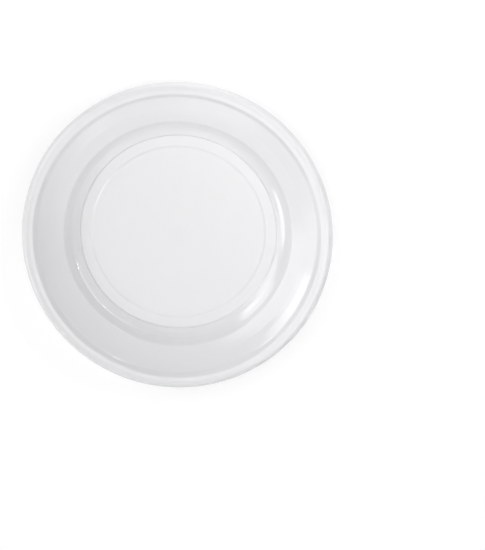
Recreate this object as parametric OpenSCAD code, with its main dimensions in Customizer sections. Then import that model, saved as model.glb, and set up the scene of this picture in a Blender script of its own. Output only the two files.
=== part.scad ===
// Round disposable dinner plate, moulded in one piece from thin white plastic.
// It lies on its foot ring at z = 0 with its axis on z. All sizes are in millimetres.

/* [Plate] */
// Diameter across the lower edge of the skirt
plate_d = 260; // [220:5:300]
// Height from the foot ring to the flat part of the rim
plate_h = 23.6; // [21:0.2:32]
// Thickness of the plastic, the same everywhere
wall = 0.8; // [0.5:0.1:1.2]

/* [Rim] */
// How far the skirt hangs below the flat part of the rim
skirt_h = 4.4; // [3.2:0.1:6]
// How far the skirt leans outwards on its way down
skirt_flare = 2.6; // [1:0.1:3]
// Width of the flat part of the rim
rim_w = 3; // [2.4:0.2:6]
// Width of the lip, the outer part of the rim, which rises towards its edge
lip_w = 3.4; // [3:0.2:6]
// Angle of that rise
lip_angle = 14; // [4:1:20]
// Rounding between the lip and the skirt
lip_round = 2.1; // [1:0.1:3]
// Drop from the rim down to the flange
riser_h = 4.1; // [2.5:0.1:6]
// Width of that drop, seen from above
riser_w = 3.2; // [1.6:0.1:4.5]

/* [Flange] */
// Width of the flange, from the riser to the well
flange_w = 21.4; // [16:0.2:28]
// Drop across the flange
flange_fall = 7.8; // [5:0.2:10]
// Share of the drop that lies in the outer half, where the flange is steeper
flange_bow = 0.62; // [0.5:0.01:0.7]
// Rounding where the flange turns down into the well
flange_round = 2; // [1:0.25:5]

/* [Well] */
// Width of the steep wall of the well, seen from above
well_wall_w = 6.1; // [4:0.1:8]
// Share of the wall's drop that lies in its outer half, where it is steeper
well_wall_bow = 0.56; // [0.5:0.01:0.62]
// Width of the easier slope below it
well_slope_w = 6.5; // [4:0.1:9]
// Drop across that slope
well_slope_fall = 3.1; // [2:0.1:4]
// Share of that drop that lies in the outer half of the slope, where it is steeper
well_slope_bow = 0.6; // [0.5:0.01:0.64]

/* [Foot] */
// Depth of the small step down to the foot ring
foot_step_h = 1.8; // [0.8:0.1:2.4]
// Width of that step, seen from above
foot_step_w = 1; // [0.6:0.1:2]
// Width of the foot ring that the plate stands on
foot_ring_w = 8.8; // [5:0.2:14]
// Height of the middle disc above the foot ring
disc_lift = 0.5; // [0.3:0.1:1.2]
// Width of the edge of the middle disc
disc_edge_w = 1.4; // [0.6:0.1:2]

/* [Gate mark] */
// Diameter of the round mark that the mould leaves in the middle
gate_d = 5; // [3:0.5:8]
// Height of the mark
gate_h = 0.3; // [0.2:0.05:0.8]

/* [Hidden] */
// Roundings of the smaller corners, measured halfway through the plastic
riser_top_round = 1.4;
riser_foot_round = 4;
lip_foot_round = 4;
bow_round = 60;
slope_round = 10;
well_round = 8;
wall_round = 15;
small_round = 0.9;
// Smallest rounding that leaves the inner side of the bend a radius of its own
least_round = wall / 2 + 0.1;

// Largest share of a stretch that a rounding may use, where both its ends are rounded and where one is
both_share = 0.45;
one_share = 0.9;
// Largest gap between a rounding and the flats that stand for it
round_gap = 0.2;
// A turn so slight that its corner lies within this of the rounding stays a corner
corner_gap = 0.04;
// The flat top of the gate mark is this share of its width
gate_top_share = 0.6;

// The path runs halfway through the plastic, from the axis out to the edge of the skirt
foot_z = wall / 2;
rim_z = plate_h - wall / 2;
lip_z = rim_z + lip_w * tan(lip_angle);
disc_z = foot_z + disc_lift;
step_z = foot_z + foot_step_h;
slope_z = step_z + well_slope_fall;
slope_bow_z = step_z + well_slope_fall * (1 - well_slope_bow);
riser_z = rim_z - riser_h;
edge_z = riser_z - flange_fall;
wall_z = slope_z + (edge_z - slope_z) * (1 - well_wall_bow);
bow_z = edge_z + flange_fall * (1 - flange_bow);
skirt_z = plate_h - skirt_h + wall / 2;

skirt_r = plate_d / 2 - wall / 2;
lip_r = skirt_r - skirt_flare;
rim_r = lip_r - lip_w;
riser_r = rim_r - rim_w;
flange_r = riser_r - riser_w;
bow_r = flange_r - flange_w / 2;
edge_r = flange_r - flange_w;
wall_r = edge_r - well_wall_w / 2;
slope_r = edge_r - well_wall_w;
slope_bow_r = slope_r - well_slope_w / 2;
step_r = slope_r - well_slope_w;
foot_r = step_r - foot_step_w;
ring_r = foot_r - foot_ring_w;
disc_r = ring_r - disc_edge_w;

// Corners of the path: radius, height and rounding
corners = [
    [0, disc_z, 0],
    [disc_r, disc_z, small_round],
    [ring_r, foot_z, small_round],
    [foot_r, foot_z, small_round],
    [step_r, step_z, small_round],
    [slope_bow_r, slope_bow_z, slope_round],
    [slope_r, slope_z, well_round],
    [wall_r, wall_z, wall_round],
    [edge_r, edge_z, flange_round],
    [bow_r, bow_z, bow_round],
    [flange_r, riser_z, riser_foot_round],
    [riser_r, rim_z, riser_top_round],
    [rim_r, rim_z, lip_foot_round],
    [lip_r, lip_z, lip_round],
    [skirt_r, skirt_z, 0]
];
last = len(corners) - 1;

// Length and direction of the straight stretch that leaves corner i
function run_r(i) = corners[i + 1][0] - corners[i][0];
function run_z(i) = corners[i + 1][1] - corners[i][1];
function stretch(i) = norm([run_r(i), run_z(i)]);
function heading(i) = atan2(run_z(i), run_r(i));

// Unit vectors along a direction and square to it, on its upper side
function along(angle) = [cos(angle), sin(angle)];
function above(angle) = [-sin(angle), cos(angle)];

// How far the path turns at corner i, upwards positive
function turn(i) = heading(i) - heading(i - 1);
function half_tan(i) = tan(abs(turn(i)) / 2);

// Rounding that fits between the neighbours of corner i
function usable(i) = stretch(i) * (i == 0 || i == last - 1 ? one_share : both_share);
function room(i) = min(usable(i - 1), usable(i)) / half_tan(i);
function rounding(i) = max(least_round, min(corners[i][2], room(i)));

// Centre of the rounding at corner i
function centre(i) = [corners[i][0], corners[i][1]]
    - rounding(i) * half_tan(i) * along(heading(i - 1))
    + rounding(i) * sign(turn(i)) * above(heading(i - 1));

// Points of one face of the plastic, at a distance above the path. Each rounding there has its own radius,
// and as few flats as stay within round_gap of it.
function radius(i, distance) = rounding(i) - sign(turn(i)) * distance;
function flat_angle(i, distance) = 2 * acos(max(0, 1 - round_gap / radius(i, distance)));
function flats(i, distance) = ceil(abs(turn(i)) / flat_angle(i, distance));
function is_slight(i, distance) = radius(i, distance) * (1 / cos(turn(i) / 2) - 1) < corner_gap;
function corner_point(i, distance) = [corners[i][0], corners[i][1]]
    + distance / cos(turn(i) / 2) * above(heading(i - 1) + turn(i) / 2);
function arc_point(i, share, distance) = centre(i)
    - sign(turn(i)) * radius(i, distance) * above(heading(i - 1) + turn(i) * share);
function bend(i, distance) = is_slight(i, distance) ? [corner_point(i, distance)]
    : [for (k = [0 : flats(i, distance)]) arc_point(i, k / flats(i, distance), distance)];
function face(distance) = [for (i = [1 : last - 1]) for (point = bend(i, distance)) point];

// The rounded edge of the skirt
edge_flats = 4;
skirt_heading = heading(last - 1);
skirt_edge = [
    for (k = [0 : edge_flats])
        [skirt_r, skirt_z] + wall / 2 * above(skirt_heading - 180 * k / edge_flats)
];

// The gate mark on top of the disc
disc_top = disc_z + wall / 2;
gate_r = gate_d / 2;
gate_mark = [
    [0, disc_top + gate_h],
    [gate_r * gate_top_share, disc_top + gate_h],
    [gate_r, disc_top]
];

top_face = face(wall / 2);
under_face = face(-wall / 2);
under_count = len(under_face);
under_face_back = [for (k = [1 : under_count]) under_face[under_count - k]];
section = concat(gate_mark, top_face, skirt_edge, under_face_back, [[0, disc_z - wall / 2]]);

$fn = 96;

// The one piece of this object

// The whole plate: its section turned about the axis
module plate() {
    color("WhiteSmoke")
        rotate_extrude()
            polygon(section);
}

plate();
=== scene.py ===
import math

import bpy
import numpy as np
from mathutils import Matrix, Vector


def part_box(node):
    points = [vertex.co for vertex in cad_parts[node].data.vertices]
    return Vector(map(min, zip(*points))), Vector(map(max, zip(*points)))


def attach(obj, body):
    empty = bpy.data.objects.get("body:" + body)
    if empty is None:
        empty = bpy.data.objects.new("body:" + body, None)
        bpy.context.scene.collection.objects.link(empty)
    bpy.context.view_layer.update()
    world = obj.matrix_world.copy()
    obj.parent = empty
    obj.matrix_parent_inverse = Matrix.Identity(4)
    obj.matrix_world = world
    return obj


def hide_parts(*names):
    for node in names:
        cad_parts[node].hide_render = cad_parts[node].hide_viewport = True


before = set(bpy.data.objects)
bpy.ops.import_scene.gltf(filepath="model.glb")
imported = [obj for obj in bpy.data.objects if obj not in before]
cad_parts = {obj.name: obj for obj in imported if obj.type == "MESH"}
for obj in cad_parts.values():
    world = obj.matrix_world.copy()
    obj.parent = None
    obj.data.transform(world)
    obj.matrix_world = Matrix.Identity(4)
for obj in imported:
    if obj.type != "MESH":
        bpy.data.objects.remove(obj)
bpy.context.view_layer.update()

# A disposable dinner plate in thin white moulded plastic, lying on its foot ring.
# Everything is in metres, with +Z up and the plate's axis on Z.
print("plate: frame loaded")

nodeLow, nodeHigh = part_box("plate")
plateRadius = (nodeHigh.x - nodeLow.x) / 2
plateHeight = nodeHigh.z

# The camera looks down on the plate along the line of sight of the photograph, which is a little off
# the plate's axis, and keeps the plate at its place in the photograph's frame.
photo = dict(
    size=(485, 550),  # pixels
    plateCentre=(177.0, 236.6),  # centre of the plate's outline, in pixels from the top left
    plateRadius=155.8,  # half the width of the outline, in pixels
    tilt=11.6,  # degrees between the line of sight and the plate's axis
    lean=73.0,  # side of the plate that the camera leans to, in degrees from +X
    distance=2.5,
    outlineDrop=0.003,  # height of the rim's top above the widest part of the outline
    sensor=36.0,  # millimetres, along the longer side of the frame
)


# Place: the outline's centre plus the distance along the line of sight. Turn: towards the point that
# lies at the middle of the frame, with +X to the right.
def makeCamera():
    tilt, lean = math.radians(photo["tilt"]), math.radians(photo["lean"])
    sight = Vector((math.sin(tilt) * math.cos(lean), math.sin(tilt) * math.sin(lean), math.cos(tilt)))
    middle = Vector((0, 0, plateHeight - photo["outlineDrop"]))
    place = middle + photo["distance"] * sight
    right = (Vector((1, 0, 0)) - sight.x * sight).normalized()
    up = sight.cross(right)
    pixel = plateRadius / photo["plateRadius"]
    across = (photo["size"][0] / 2 - photo["plateCentre"][0]) * pixel
    down = (photo["size"][1] / 2 - photo["plateCentre"][1]) * pixel
    back = (place - (middle + across * right - down * up)).normalized()
    right = (Vector((1, 0, 0)) - back.x * back).normalized()
    up = back.cross(right)
    data = bpy.data.cameras.new("camera")
    data.sensor_width = photo["sensor"]
    data.lens = photo["sensor"] * photo["distance"] / (pixel * max(photo["size"]))
    camera = bpy.data.objects.new("camera", data)
    camera.matrix_world = Matrix.Translation(place) @ Matrix((right, up, back)).transposed().to_4x4()
    bpy.context.scene.collection.objects.link(camera)
    bpy.context.scene.camera = camera


makeCamera()
print("plate: camera placed")

# The shell follows one path halfway through the plastic, from the axis out to the edge of the skirt.
# Widths and drops are those of the solid.
shell = dict(
    wall=0.0008, rimTop=0.02352,
    skirtHeight=0.0044, skirtFlare=0.0026,
    rimWidth=0.003, lipWidth=0.0034, lipAngle=14.0, lipFootRound=0.004, lipRound=0.0021,
    riserHeight=0.0041, riserWidth=0.0032, riserTopRound=0.0014, riserFootRound=0.004,
    flangeWidth=0.0214, flangeFall=0.0078, flangeBow=0.62, flangeRound=0.002, bowRound=0.060,
    wellWallWidth=0.0061, wellWallBow=0.56, wallRound=0.015, wellRound=0.008,
    wellSlopeWidth=0.0065, wellSlopeFall=0.0031, wellSlopeBow=0.6, slopeRound=0.01,
    footStepHeight=0.0018, footStepWidth=0.001, footRingWidth=0.0088,
    discLift=0.0005, discEdgeWidth=0.0014, smallRound=0.0009,
    gateRadius=0.0025, gateHeight=0.0003, gateTop=0.6,
    arcStep=5.0,  # degrees of a rounding for each ring of faces
    edgeRings=8,  # rings round the edge of the skirt
    longestRun=0.003,  # longest face along the section
    supportReach=0.0002,  # how close to its ends a long run has a further ring
    sides=256,
)


# Corners of the path, as radius, height and rounding, worked out from the skirt inwards.
def shellCorners():
    s = shell
    half = s["wall"] / 2
    skirtZ, rimZ, footZ = s["rimTop"] - s["skirtHeight"] + half, s["rimTop"] - half, half
    lipZ = rimZ + s["lipWidth"] * math.tan(math.radians(s["lipAngle"]))
    riserZ = rimZ - s["riserHeight"]
    edgeZ = riserZ - s["flangeFall"]
    bowZ = edgeZ + s["flangeFall"] * (1 - s["flangeBow"])
    stepZ = footZ + s["footStepHeight"]
    slopeZ = stepZ + s["wellSlopeFall"]
    slopeBowZ = stepZ + s["wellSlopeFall"] * (1 - s["wellSlopeBow"])
    wallZ = slopeZ + (edgeZ - slopeZ) * (1 - s["wellWallBow"])
    discZ = footZ + s["discLift"]
    skirtR = plateRadius - half
    lipR = skirtR - s["skirtFlare"]
    rimR = lipR - s["lipWidth"]
    riserR = rimR - s["rimWidth"]
    flangeR = riserR - s["riserWidth"]
    bowR, edgeR = flangeR - s["flangeWidth"] / 2, flangeR - s["flangeWidth"]
    wallR, slopeR = edgeR - s["wellWallWidth"] / 2, edgeR - s["wellWallWidth"]
    slopeBowR, stepR = slopeR - s["wellSlopeWidth"] / 2, slopeR - s["wellSlopeWidth"]
    footR = stepR - s["footStepWidth"]
    ringR = footR - s["footRingWidth"]
    discR = ringR - s["discEdgeWidth"]
    return np.array([
        (0, discZ, 0),
        (discR, discZ, s["smallRound"]),
        (ringR, footZ, s["smallRound"]),
        (footR, footZ, s["smallRound"]),
        (stepR, stepZ, s["smallRound"]),
        (slopeBowR, slopeBowZ, s["slopeRound"]),
        (slopeR, slopeZ, s["wellRound"]),
        (wallR, wallZ, s["wallRound"]),
        (edgeR, edgeZ, s["flangeRound"]),
        (bowR, bowZ, s["bowRound"]),
        (flangeR, riserZ, s["riserFootRound"]),
        (riserR, rimZ, s["riserTopRound"]),
        (rimR, rimZ, s["lipFootRound"]),
        (lipR, lipZ, s["lipRound"]),
        (skirtR, skirtZ, 0),
    ])


# One face of the plastic, at a distance above the path: at each corner the point goes round an arc that
# is tangent to both neighbours, centre - side * (rounding - side * distance) * normal(heading).
def shellFace(corners, distance):
    points, rounding = corners[:, :2], corners[:, 2]
    run = np.diff(points, axis=0)
    heading = np.arctan2(run[:, 1], run[:, 0])
    arcs = []
    for i in range(1, len(points) - 1):
        turn = heading[i] - heading[i - 1]
        side = np.sign(turn)
        along = np.array([np.cos(heading[i - 1]), np.sin(heading[i - 1])])
        above = np.array([-along[1], along[0]])
        centre = points[i] + rounding[i] * (side * above - np.tan(abs(turn) / 2) * along)
        count = max(2, math.ceil(abs(math.degrees(turn)) / shell["arcStep"])) + 1
        angle = np.linspace(heading[i - 1], heading[i], count)
        normal = np.stack([-np.sin(angle), np.cos(angle)], axis=1)
        arcs.append(centre - side * (rounding[i] - side * distance) * normal)
    return np.concatenate(arcs), heading[-1]


# The closed section: gate mark, upper face, half circle round the edge of the skirt, lower face.
def shellSection():
    s = shell
    corners = shellCorners()
    half = s["wall"] / 2
    upper, heading = shellFace(corners, half)
    under = shellFace(corners, -half)[0]
    angle = heading + math.pi / 2 - np.linspace(0, math.pi, s["edgeRings"] + 1)
    edge = corners[-1, :2] + half * np.stack([np.cos(angle), np.sin(angle)], axis=1)
    discTop = corners[0, 1] + half
    gate = np.array([
        (0, discTop + s["gateHeight"]),
        (s["gateRadius"] * s["gateTop"], discTop + s["gateHeight"]),
        (s["gateRadius"], discTop),
    ])
    bottom = np.array([(0, corners[0, 1] - half)])
    return np.concatenate([gate, upper, edge, under[::-1], bottom])


# Puts a point close to both ends of each run longer than three reaches, at start + reach * way and
# end - reach * way, so that the smooth shading keeps the runs flat and the roundings tight.
def supportRuns(points, reach):
    run = np.diff(points, axis=0)
    length = np.linalg.norm(run, axis=1, keepdims=True)
    step = reach * run / length
    isLong = length[:, 0] > 3 * reach
    filled = np.stack([points[:-1], points[:-1] + step, points[1:] - step], axis=1).reshape(-1, 2)
    kept = np.stack([np.ones(len(run), bool), isLong, isLong], axis=1).ravel()
    return np.concatenate([filled[kept], points[-1:]])


# Splits each run longer than the given length into equal parts: start + step / parts * (end - start).
def splitRuns(points, longest):
    run = np.diff(points, axis=0)
    parts = np.maximum(1, np.ceil(np.linalg.norm(run, axis=1) / longest)).astype(int)
    owner = np.repeat(np.arange(len(run)), parts)
    step = np.arange(parts.sum()) - np.repeat(np.cumsum(parts) - parts, parts)
    filled = points[owner] + (step / parts[owner])[:, None] * run[owner]
    return np.concatenate([filled, points[-1:]])


# A surface of revolution: x = r cos a, y = r sin a, z = z over a grid of rings and sides. The two ends of
# the section lie on the axis, and each is a single vertex with a fan of triangles.
def turnSection(name, section, sides):
    angle = np.linspace(0, 2 * np.pi, sides, endpoint=False)
    r, z = section[1:-1, 0], section[1:-1, 1]
    x, y = np.outer(r, np.cos(angle)), np.outer(r, np.sin(angle))
    rings = np.stack([x, y, np.outer(z, np.ones(sides))], axis=2)
    top, bottom = (0, 0, section[0, 1]), (0, 0, section[-1, 1])
    vertices = np.concatenate([[top], rings.reshape(-1, 3), [bottom]])
    grid = 1 + np.arange(len(r) * sides).reshape(len(r), sides)
    after = np.roll(grid, -1, axis=1)
    quads = np.stack([grid[:-1], grid[1:], after[1:], after[:-1]], axis=2).reshape(-1, 4)
    topFan = np.stack([np.zeros(sides, int), grid[0], after[0]], axis=1)
    bottomFan = np.stack([np.full(sides, len(vertices) - 1), after[-1], grid[-1]], axis=1)
    mesh = bpy.data.meshes.new(name)
    mesh.from_pydata(vertices.tolist(), [], topFan.tolist() + quads.tolist() + bottomFan.tolist())
    mesh.shade_smooth()
    mesh.validate()
    piece = bpy.data.objects.new(name, mesh)
    bpy.context.scene.collection.objects.link(piece)
    return piece


plateSection = splitRuns(supportRuns(shellSection(), shell["supportReach"]), shell["longestRun"])
plateShell = turnSection("plate_shell", plateSection, shell["sides"])
print("plate: shell turned,", len(plateShell.data.polygons), "faces")


# A number or vector is written into the socket, and an output is linked to it.
def feed(tree, socket, value):
    if isinstance(value, bpy.types.NodeSocket):
        tree.links.new(value, socket)
    else:
        socket.default_value = value


# One Math node: the operation on the values, in their order.
def addMath(tree, operation, *values):
    node = tree.nodes.new("ShaderNodeMath")
    node.operation = operation
    for socket, value in zip(node.inputs, values):
        feed(tree, socket, value)
    return node.outputs[0]


# One Vector Math node: the operation on the vectors. A length comes out as a number.
def addVector(tree, operation, *values):
    node = tree.nodes.new("ShaderNodeVectorMath")
    node.operation = operation
    for socket, value in zip(node.inputs, values):
        feed(tree, socket, value)
    return node.outputs["Value" if operation == "LENGTH" else "Vector"]


# Noise from 0 to 1 over the vector times the scale.
def addNoise(tree, vector, scale, detail=2.0, roughness=0.5):
    node = tree.nodes.new("ShaderNodeTexNoise")
    feed(tree, node.inputs["Vector"], vector)
    feed(tree, node.inputs["Scale"], scale)
    node.inputs["Detail"].default_value = detail
    node.inputs["Roughness"].default_value = roughness
    return node.outputs["Fac"]


# Eases a value from 0 at the first limit to 1 at the second.
def addRamp(tree, value, low, high):
    node = tree.nodes.new("ShaderNodeMapRange")
    node.interpolation_type = "SMOOTHSTEP"
    feed(tree, node.inputs["Value"], value)
    feed(tree, node.inputs["From Min"], low)
    feed(tree, node.inputs["From Max"], high)
    return node.outputs["Result"]


# The part of a vector that is square to the plate's axis: (x, y, 0).
def addFlat(tree, vector):
    return addVector(tree, "MULTIPLY", vector, (1, 1, 0))


# Distance from the plate's axis: the length of (x, y, 0).
def addRadius(tree, vector):
    return addVector(tree, "LENGTH", addFlat(tree, vector))


# A node group that takes a vector and the named numbers, and gives one number.
def newGroup(name, numbers, result):
    tree = bpy.data.node_groups.new(name, "ShaderNodeTree")
    tree.interface.new_socket(name="Vector", in_out="INPUT", socket_type="NodeSocketVector")
    for label in numbers:
        tree.interface.new_socket(name=label, in_out="INPUT", socket_type="NodeSocketFloat")
    tree.interface.new_socket(name=result, in_out="OUTPUT", socket_type="NodeSocketFloat")
    given = tree.nodes.new("NodeGroupInput").outputs
    return tree, given, tree.nodes.new("NodeGroupOutput").inputs[result]


# Places a group in a material, with a value or a link for each of its inputs.
def addGroup(tree, group, **values):
    node = tree.nodes.new("ShaderNodeGroup")
    node.node_tree = group
    for label, value in values.items():
        feed(tree, node.inputs[label], value)
    return node.outputs[0]


plastic = dict(
    white=(0.912, 0.912, 0.922, 1),
    shade=(0.893, 0.893, 0.906, 1),
    mottleScale=60.0,
    mottleShare=0.7,  # how much the cloudy mottle leans to the shade
    gateShare=0.5,  # how much the middle leans to the shade
    roughness=0.12,
    marksRoughness=0.05,
    scuffRoughness=0.03,
    peelRoughness=0.03,
    scuffEdges=(0.42, 0.7),  # values of the mottle between which the scuffs come in
    ior=1.59,  # polystyrene
    coatWeight=0.5,
    coatRoughness=0.08,
    subsurface=0.12,
    subsurfaceScale=0.002,
    heightUnit=0.001,  # the five heights are in millimetres
    flowHeight=0.012,
    waveHeight=0.03,
    peelHeight=0.0012,
    turnedHeight=0.0006,
    scratchDepth=0.0004,
    flowStreaks=9.0,
    flowDraw=22.0,
    waveScale=22.0,
    peelScale=1400.0,
    turnedPitch=0.0006,
    turnedWander=18.0,
    turnedPatches=30.0,
    turnedEdges=(0.35, 0.7),
    scratchThreshold=0.66,
    scratchEdge=0.08,
    scratchRuns=((18, 26, 900), (74, 34, 1200), (131, 22, 1000)),  # degrees, scale along and across
    rimBand=(0.1236, 0.012),  # radius and width of the part of the rim that rubs
    footBand=(0.0778, 0.012),
    gateBand=(0.0, 0.024),
)


# Fine rings left by the turned and polished mould: the sine of the radius over the pitch, in patches.
def makeTurnedMarks():
    numbers = ("Pitch", "Wander", "Patches", "PatchFrom", "PatchTo")
    tree, given, height = newGroup("turnedMarks", numbers, "Height")
    turns = addMath(tree, "DIVIDE", addRadius(tree, given["Vector"]), given["Pitch"])
    turns = addMath(tree, "ADD", turns, addNoise(tree, given["Vector"], given["Wander"]))
    wave = addMath(tree, "SINE", addMath(tree, "MULTIPLY", turns, 2 * math.pi))
    patch = addNoise(tree, given["Vector"], given["Patches"])
    patch = addRamp(tree, patch, given["PatchFrom"], given["PatchTo"])
    feed(tree, height, addMath(tree, "MULTIPLY", wave, patch))
    return tree


# Flow of the melt from the gate: noise over the direction from the axis, drawn out along the radius.
def makeMouldFlow():
    tree, given, height = newGroup("mouldFlow", ("Streaks", "Draw"), "Height")
    flat = addFlat(tree, given["Vector"])
    spread = tree.nodes.new("ShaderNodeCombineXYZ")
    for socket in spread.inputs:
        feed(tree, socket, given["Streaks"])
    direction = addVector(tree, "MULTIPLY", addVector(tree, "NORMALIZE", flat), spread.outputs[0])
    lift = tree.nodes.new("ShaderNodeCombineXYZ")
    feed(tree, lift.inputs["Z"], addMath(tree, "MULTIPLY", addVector(tree, "LENGTH", flat), given["Draw"]))
    drawn = addVector(tree, "ADD", direction, lift.outputs[0])
    feed(tree, height, addNoise(tree, drawn, scale=1.0, detail=3.0))
    return tree


# Hair scratches from handling: noise squeezed along one direction, above a threshold, for each run.
def makeHandlingMarks():
    tree, given, marks = newGroup("handlingMarks", ("Threshold", "Edge"), "Marks")
    full = addMath(tree, "ADD", given["Threshold"], given["Edge"])
    total = 0.0
    for angle, along, across in plastic["scratchRuns"]:
        turned = tree.nodes.new("ShaderNodeVectorRotate")
        turned.rotation_type = "Z_AXIS"
        feed(tree, turned.inputs["Vector"], given["Vector"])
        turned.inputs["Angle"].default_value = math.radians(angle)
        squeezed = addVector(tree, "MULTIPLY", turned.outputs[0], (along, across, along))
        noise = addNoise(tree, squeezed, scale=1.0, detail=1.0)
        total = addMath(tree, "MAXIMUM", total, addRamp(tree, noise, given["Threshold"], full))
    feed(tree, marks, total)
    return tree


# A soft ring round the axis: 1 at the given radius, 0 at half the width away.
def makeRingBand():
    tree, given, band = newGroup("ringBand", ("Radius", "Width"), "Band")
    away = addMath(tree, "SUBTRACT", addRadius(tree, given["Vector"]), given["Radius"])
    half = addMath(tree, "MULTIPLY", given["Width"], 0.5)
    feed(tree, band, addRamp(tree, addMath(tree, "ABSOLUTE", away), half, 0.0))
    return tree


turnedMarks, mouldFlow = makeTurnedMarks(), makeMouldFlow()
handlingMarks, ringBand = makeHandlingMarks(), makeRingBand()


# Tone: white towards the shade by the mottle and the gate. Roughness and height: sums of the marks, each
# times its own strength.
def makePlastic():
    p = plastic
    material = bpy.data.materials.new("white_plastic")
    material.use_nodes = True
    tree = material.node_tree
    shader = tree.nodes["Principled BSDF"]
    place = tree.nodes.new("ShaderNodeTexCoord").outputs["Object"]
    marks = addGroup(tree, handlingMarks, Vector=place, Threshold=p["scratchThreshold"], Edge=p["scratchEdge"])
    rim = addGroup(tree, ringBand, Vector=place, Radius=p["rimBand"][0], Width=p["rimBand"][1])
    foot = addGroup(tree, ringBand, Vector=place, Radius=p["footBand"][0], Width=p["footBand"][1])
    gate = addGroup(tree, ringBand, Vector=place, Radius=p["gateBand"][0], Width=p["gateBand"][1])
    flow = addGroup(tree, mouldFlow, Vector=place, Streaks=p["flowStreaks"], Draw=p["flowDraw"])
    turned = addGroup(
        tree, turnedMarks, Vector=place, Pitch=p["turnedPitch"], Wander=p["turnedWander"],
        Patches=p["turnedPatches"], PatchFrom=p["turnedEdges"][0], PatchTo=p["turnedEdges"][1],
    )
    wave = addNoise(tree, place, p["waveScale"], detail=1.0)
    peel = addNoise(tree, place, p["peelScale"])
    mottle = addNoise(tree, place, p["mottleScale"], detail=4.0, roughness=0.6)

    tone = tree.nodes.new("ShaderNodeMix")
    tone.data_type = "RGBA"
    share = addMath(tree, "MULTIPLY", mottle, p["mottleShare"])
    feed(tree, tone.inputs["Factor"], addMath(tree, "MULTIPLY_ADD", gate, p["gateShare"], share))
    tone.inputs["A"].default_value = p["white"]
    tone.inputs["B"].default_value = p["shade"]
    tree.links.new(tone.outputs["Result"], shader.inputs["Base Color"])

    rubbed = addMath(tree, "MAXIMUM", rim, foot)
    scuffs = addMath(tree, "MULTIPLY", rubbed, addRamp(tree, mottle, *p["scuffEdges"]))
    rough = addMath(tree, "MULTIPLY_ADD", marks, p["marksRoughness"], p["roughness"])
    rough = addMath(tree, "MULTIPLY_ADD", scuffs, p["scuffRoughness"], rough)
    rough = addMath(tree, "MULTIPLY_ADD", peel, p["peelRoughness"], rough)
    tree.links.new(rough, shader.inputs["Roughness"])

    height = addMath(tree, "MULTIPLY", flow, p["flowHeight"])
    height = addMath(tree, "MULTIPLY_ADD", wave, p["waveHeight"], height)
    height = addMath(tree, "MULTIPLY_ADD", peel, p["peelHeight"], height)
    height = addMath(tree, "MULTIPLY_ADD", turned, p["turnedHeight"], height)
    height = addMath(tree, "MULTIPLY_ADD", marks, -p["scratchDepth"], height)
    bump = tree.nodes.new("ShaderNodeBump")
    bump.inputs["Distance"].default_value = p["heightUnit"]
    tree.links.new(height, bump.inputs["Height"])
    tree.links.new(bump.outputs["Normal"], shader.inputs["Normal"])

    shader.inputs["IOR"].default_value = p["ior"]
    shader.inputs["Coat Weight"].default_value = p["coatWeight"]
    shader.inputs["Coat Roughness"].default_value = p["coatRoughness"]
    shader.inputs["Subsurface Weight"].default_value = p["subsurface"]
    shader.inputs["Subsurface Radius"].default_value = (1.0, 1.0, 1.0)
    shader.inputs["Subsurface Scale"].default_value = p["subsurfaceScale"]
    return material


plateShell.data.materials.append(makePlastic())
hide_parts("plate")
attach(plateShell, "root")
print("plate: plastic made")

# The floor is pale and lit by the lamps. The camera sees a darker paint with light of its own, so that the
# floor shows white all over and still keeps the plate's shadow. Mirrors see the pale paint and a weaker light.
floor = dict(
    halfWidth=4.0,
    tone=(0.8, 0.8, 0.805, 1),
    seenTone=(0.4, 0.4, 0.4, 1),
    lift=0.69,
    glossLift=0.3,
    roughness=0.9,
)


# A square on z = 0. Its light is the camera's lift, or for mirrored and passing rays the gloss lift.
def makeFloor():
    w = floor["halfWidth"]
    mesh = bpy.data.meshes.new("floor")
    mesh.from_pydata([(-w, -w, 0), (w, -w, 0), (w, w, 0), (-w, w, 0)], [], [(0, 1, 2, 3)])
    piece = bpy.data.objects.new("floor", mesh)
    bpy.context.scene.collection.objects.link(piece)
    material = bpy.data.materials.new("floor_paint")
    material.use_nodes = True
    tree = material.node_tree
    shader = tree.nodes["Principled BSDF"]
    path = tree.nodes.new("ShaderNodeLightPath").outputs
    paint = tree.nodes.new("ShaderNodeMix")
    paint.data_type = "RGBA"
    paint.inputs["A"].default_value = floor["tone"]
    paint.inputs["B"].default_value = floor["seenTone"]
    tree.links.new(path["Is Camera Ray"], paint.inputs["Factor"])
    tree.links.new(paint.outputs["Result"], shader.inputs["Base Color"])
    shader.inputs["Roughness"].default_value = floor["roughness"]
    shader.inputs["Specular IOR Level"].default_value = 0.0
    mirrored = addMath(tree, "MAXIMUM", path["Is Glossy Ray"], path["Is Transmission Ray"])
    glow = addMath(tree, "MULTIPLY", mirrored, floor["glossLift"])
    glow = addMath(tree, "MULTIPLY_ADD", path["Is Camera Ray"], floor["lift"], glow)
    shader.inputs["Emission Color"].default_value = (1, 1, 1, 1)
    tree.links.new(glow, shader.inputs["Emission Strength"])
    mesh.materials.append(material)


makeFloor()

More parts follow.
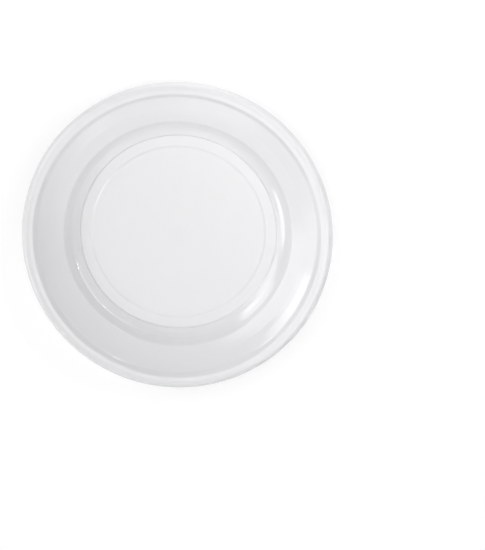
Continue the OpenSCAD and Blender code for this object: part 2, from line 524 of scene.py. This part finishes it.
# Lamps point at the axis: azimuth and elevation in degrees, distance and size in metres. Soft ones stand all
# round but for the back. Of the others, the two bead lamps draw the bright line round the rim's bead, the thin
# spark at the back right draws the lines at the foot of the well's wall on the left, and the low strip beside
# the rim lights only its skirt.
lamps = dict(
    window=dict(azimuth=200, elevation=25, distance=1.8, size=(0.8, 0.6), power=3.9),
    windowBack=dict(azimuth=150, elevation=25, distance=1.8, size=(0.9, 0.8), power=5.0),
    front=dict(azimuth=270, elevation=31, distance=1.8, size=(1.7, 1.2), power=4.6),
    frontRight=dict(azimuth=315, elevation=31, distance=1.8, size=(1.4, 1.2), power=3.9),
    frontHigh=dict(azimuth=300, elevation=65, distance=1.8, size=(0.8, 0.8), power=1.2),
    leftHigh=dict(azimuth=180, elevation=65, distance=1.8, size=(0.8, 0.8), power=2.8),
    high=dict(azimuth=253, elevation=85, distance=3.0, size=(1.4, 1.4), power=6.0),
    bead=dict(azimuth=160, elevation=45, distance=1.8, size=(0.9, 0.45), power=3.0),
    beadWide=dict(azimuth=172, elevation=45, distance=1.8, size=(1.6, 0.35), power=2.1),
    spark=dict(azimuth=35, elevation=43, distance=0.5, size=(0.5, 0.012), power=0.86),
    backStrip=dict(azimuth=84, elevation=3.3, distance=0.225, size=(0.2, 0.014), power=0.035),
)


# A rectangular lamp at distance * (cos up cos around, cos up sin around, sin up), turned to the origin.
def makeLamp(name, azimuth, elevation, distance, size, power):
    around, up = math.radians(azimuth), math.radians(elevation)
    way = Vector((math.cos(up) * math.cos(around), math.cos(up) * math.sin(around), math.sin(up)))
    data = bpy.data.lights.new(name, "AREA")
    data.shape = "RECTANGLE"
    data.size, data.size_y = size
    data.energy = power
    lamp = bpy.data.objects.new(name, data)
    lamp.location = distance * way
    lamp.rotation_euler = way.to_track_quat("Z", "Y").to_euler()
    bpy.context.scene.collection.objects.link(lamp)


for name, values in lamps.items():
    makeLamp(name, **values)

room = dict(tone=(0.985, 0.985, 1.0, 1), strength=0.2, seenStrength=1.0)


# The room's light all round: its strength, and white where the camera sees it.
def makeRoom():
    world = bpy.data.worlds.new("room")
    bpy.context.scene.world = world
    world.use_nodes = True
    tree = world.node_tree
    background = tree.nodes["Background"]
    background.inputs["Color"].default_value = room["tone"]
    seen = tree.nodes.new("ShaderNodeLightPath").outputs["Is Camera Ray"]
    extra = room["seenStrength"] - room["strength"]
    tree.links.new(addMath(tree, "MULTIPLY_ADD", seen, extra, room["strength"]), background.inputs["Strength"])


makeRoom()
bpy.context.scene.view_settings.view_transform = "Standard"
print("plate: floor, lamps and room made")
